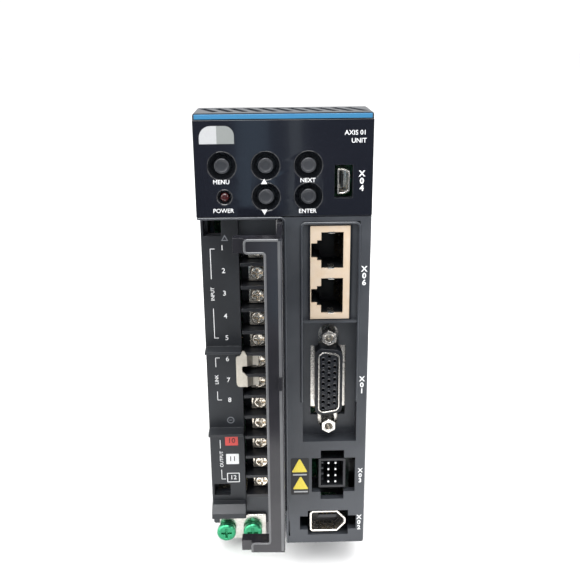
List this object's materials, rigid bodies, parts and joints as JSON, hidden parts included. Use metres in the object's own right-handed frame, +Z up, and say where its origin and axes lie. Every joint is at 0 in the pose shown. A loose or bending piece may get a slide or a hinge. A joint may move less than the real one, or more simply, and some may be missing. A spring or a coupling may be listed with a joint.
{
  "type": "servo drive",
  "caption": "Narrow upright servo drive with a key panel, a column of signal connectors, and barrier terminals behind a hinged cover.",
  "frame": {"origin": "centre of the rear mounting face, at half the height of the rear housing", "axes": "+X to the right seen from the front, +Y backwards out of the mounting face, +Z up"},
  "size_m": [0.056, 0.1743, 0.166],
  "materials": {
    "housing_plastic": "satin dark blue-grey moulded plastic",
    "gloss_panel": "glossy near-black overlay",
    "blue_stripe": "semi-gloss blue",
    "black_plastic": "satin black moulded plastic",
    "plated_steel": "bright zinc plating",
    "nickel_shell": "nickel-plated sheet",
    "sink_aluminium": "extruded, satin",
    "jack_beige": "beige moulded plastic",
    "circuit_board": "green solder resist",
    "green_screw": "green chromate, glossy",
    "link_metal": "tin-plated plate",
    "keypad_rubber": "matt silicone rubber",
    "lamp_lens": "dark red translucent",
    "capacitor_sleeve": "shrink sleeve",
    "winding_copper": "enamelled wire",
    "transformer_tape": "yellow tape",
    "relay_case": "blue case",
    "fuse_ceramic": "ceramic tube",
    "harness_sleeve": "flat wire bundle"
  },
  "bodies": {
    "drive": {"accent_stripe": "blue_stripe", "back_plate": "sink_aluminium", "bus_capacitor_left": "capacitor_sleeve", "bus_capacitor_right": "capacitor_sleeve", "case_screw_left": "plated_steel", "case_screw_right": "plated_steel", "charge_lamp": "lamp_lens", "control_board": "circuit_board", "display_module": "black_plastic", "dsub_insulator": "black_plastic", "dsub_shell": "nickel_shell", "emi_choke": "winding_copper", "encoder_header": "black_plastic", "fieldbus_shell": "nickel_shell", "fieldbus_tongue": "black_plastic", "front_housing": "housing_plastic", "ground_bracket": "plated_steel", "ground_screw_left": "green_screw", "ground_screw_right": "green_screw", "heat_sink": "sink_aluminium", "inrush_relay": "relay_case", "jackscrew_lower": "nickel_shell", "jackscrew_upper": "nickel_shell", "keypad_board": "circuit_board", "keypad_carrier": "black_plastic", "keypad_membrane": "keypad_rubber", "line_board": "circuit_board", "line_fuse": "fuse_ceramic", "link_harness": "harness_sleeve", "panel_overlay": "gloss_panel", "power_board": "circuit_board", "power_module": "black_plastic", "rear_housing": "housing_plastic", "rj45_jack": "jack_beige", "shorting_link": "link_metal", "terminal_block": "black_plastic", "terminal_label_strip": "housing_plastic", "terminal_screw_01": "plated_steel", "terminal_screw_02": "plated_steel", "terminal_screw_03": "plated_steel", "terminal_screw_04": "plated_steel", "terminal_screw_05": "plated_steel", "terminal_screw_06": "plated_steel", "terminal_screw_07": "plated_steel", "terminal_screw_08": "plated_steel", "terminal_screw_09": "plated_steel", "terminal_screw_10": "plated_steel", "terminal_screw_11": "plated_steel", "terminal_screw_12": "plated_steel", "transformer": "transformer_tape", "usb_shell": "nickel_shell", "usb_tongue": "black_plastic"},
    "cover": {"terminal_cover": "housing_plastic"},
    "key_mode": {"button_mode": "black_plastic"},
    "key_up": {"button_up": "black_plastic"},
    "key_shift": {"button_shift": "black_plastic"},
    "key_down": {"button_down": "black_plastic"},
    "key_enter": {"button_enter": "black_plastic"}
  },
  "joints": [
    {"name": "cover_hinge", "type": "hinge", "parent": "drive", "child": "cover", "pos_m": [-0.0017, -0.1488, -0.00335], "axis": [0, 0, 1], "range_deg": [-88, 0]},
    {"name": "press_mode", "type": "slide", "parent": "drive", "child": "key_mode", "axis": [0, 1, 0], "range_m": [0, 0.0006], "stiffness_N_per_m": 600},
    {"name": "press_up", "type": "slide", "parent": "drive", "child": "key_up", "axis": [0, 1, 0], "range_m": [0, 0.0006], "stiffness_N_per_m": 600},
    {"name": "press_shift", "type": "slide", "parent": "drive", "child": "key_shift", "axis": [0, 1, 0], "range_m": [0, 0.0006], "stiffness_N_per_m": 600},
    {"name": "press_down", "type": "slide", "parent": "drive", "child": "key_down", "axis": [0, 1, 0], "range_m": [0, 0.0006], "stiffness_N_per_m": 600},
    {"name": "press_enter", "type": "slide", "parent": "drive", "child": "key_enter", "axis": [0, 1, 0], "range_m": [0, 0.0006], "stiffness_N_per_m": 600}
  ]
}
